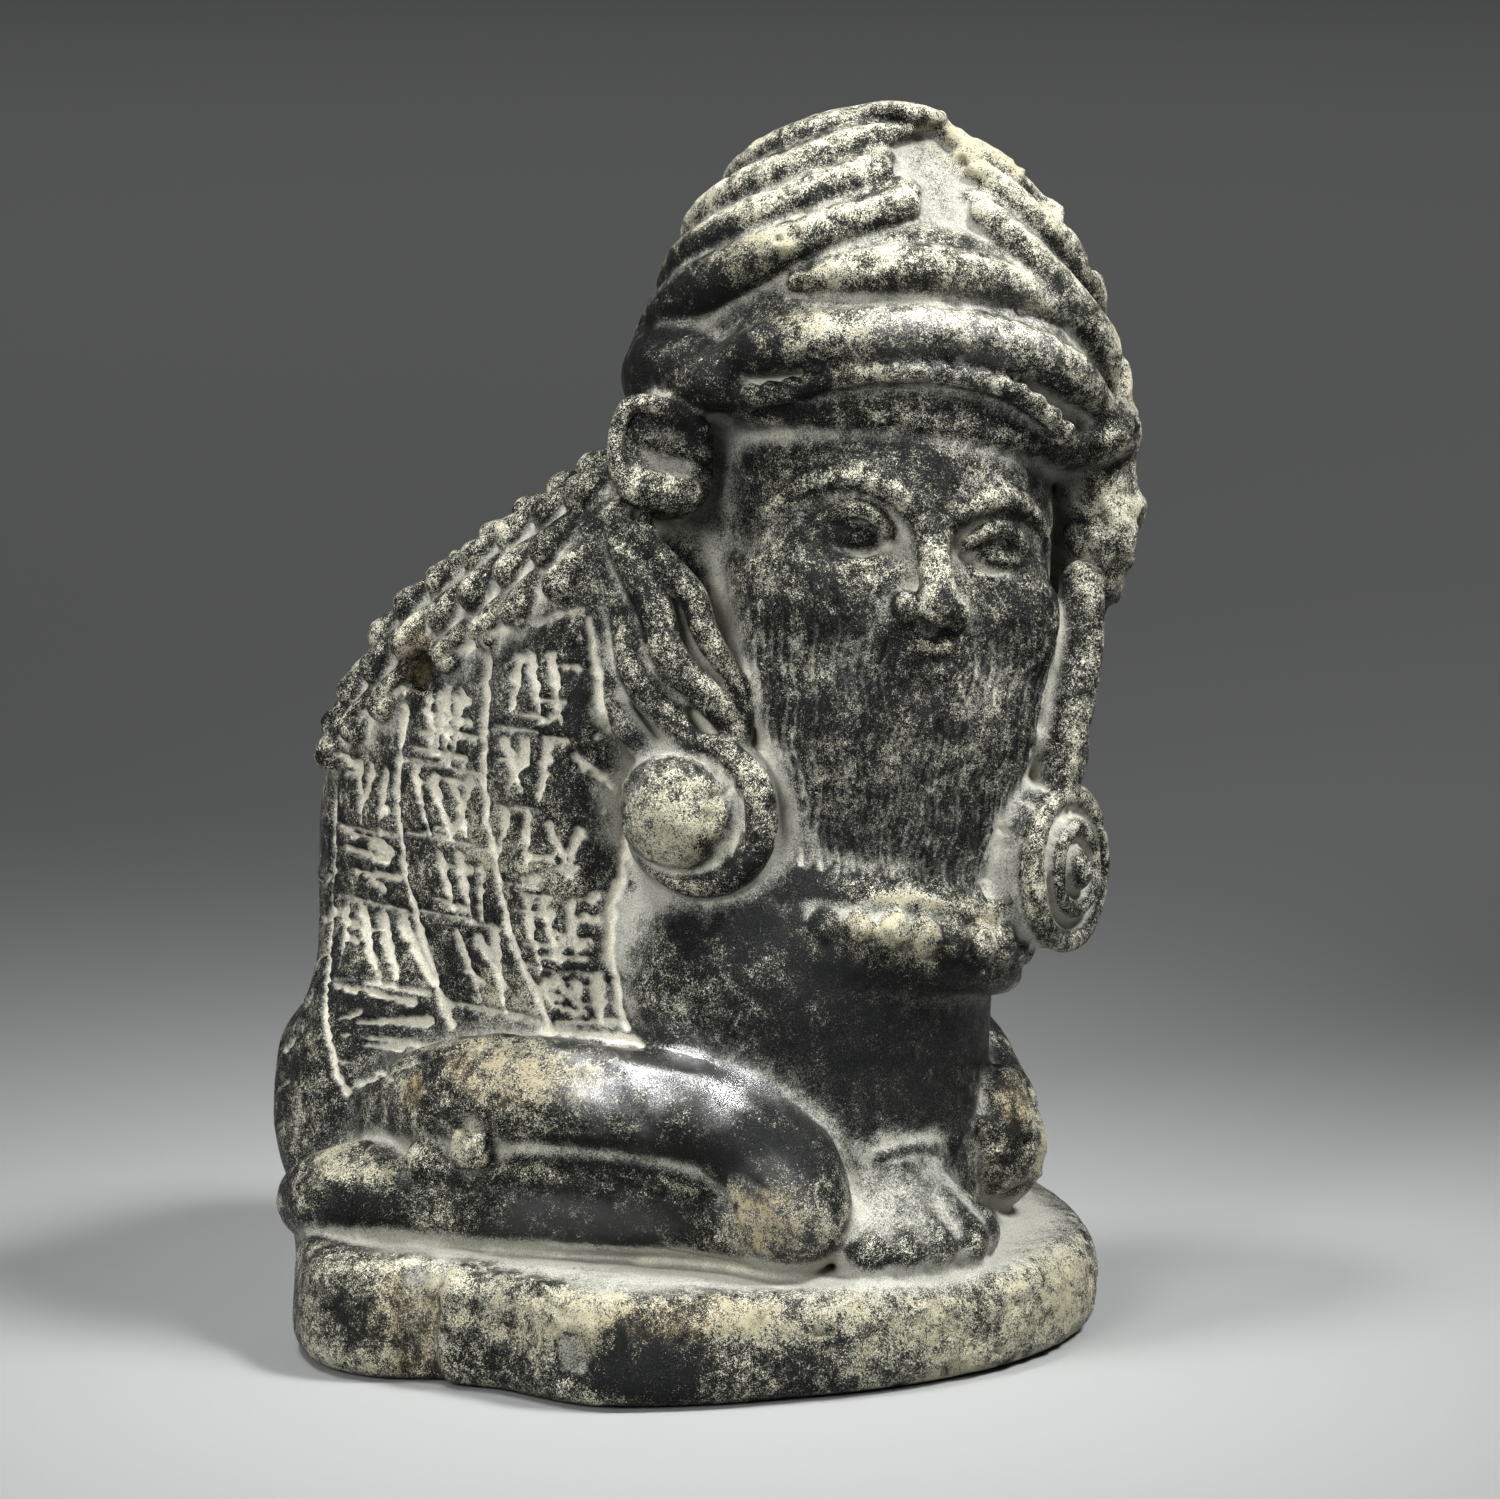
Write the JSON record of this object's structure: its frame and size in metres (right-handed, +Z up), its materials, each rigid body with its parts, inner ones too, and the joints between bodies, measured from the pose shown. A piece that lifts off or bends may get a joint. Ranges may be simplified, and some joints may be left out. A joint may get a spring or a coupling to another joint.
{
  "type": "human-headed bull statue",
  "caption": "Recumbent bull with a bearded human head in a horned crown, carved with its rounded base from one block of dark stone; stands on its flat underside.",
  "frame": {"origin": "centre of the base's flat underside, on the surface that it stands on", "axes": "+Z up through the crown; the chest faces -Y; +X is the figure's left"},
  "size_m": [0.0847, 0.0813, 0.1217],
  "materials": {
    "stone": "dark grey-black stone, worn to a low polish on the limbs, with pale cream deposits in its grooves and pits"
  },
  "bodies": {
    "root": {"statue": "stone"}
  },
  "joints": []
}
